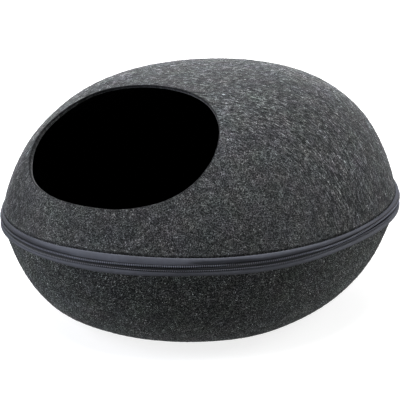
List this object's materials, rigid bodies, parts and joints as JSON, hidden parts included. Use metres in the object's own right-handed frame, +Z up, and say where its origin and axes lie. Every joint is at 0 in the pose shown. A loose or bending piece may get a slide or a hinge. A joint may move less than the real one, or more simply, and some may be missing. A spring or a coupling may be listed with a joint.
{
  "type": "felt cat cave",
  "caption": "Egg-shaped felt cat cave: a moulded dome with an oval entrance zipped onto a flat-based bowl.",
  "frame": {"origin": "on the floor, under the middle of the egg's bounding box", "axes": "+Z up, -Y towards the entrance's end, X across the egg"},
  "size_m": [0.4088, 0.4818, 0.2625],
  "materials": {
    "charcoal_felt": "matt pressed felt, dark charcoal flecked with light grey fibres",
    "zip_tape": "smooth bluish grey woven tape with a faint sheen",
    "zip_coil": "fine ribbed dark nylon coil"
  },
  "bodies": {
    "root": {"felt_dome": "charcoal_felt", "felt_bowl": "charcoal_felt", "zip_tape_upper": "zip_tape", "zip_tape_lower": "zip_tape", "zip_coil_upper": "zip_coil", "zip_coil_lower": "zip_coil"}
  },
  "joints": []
}
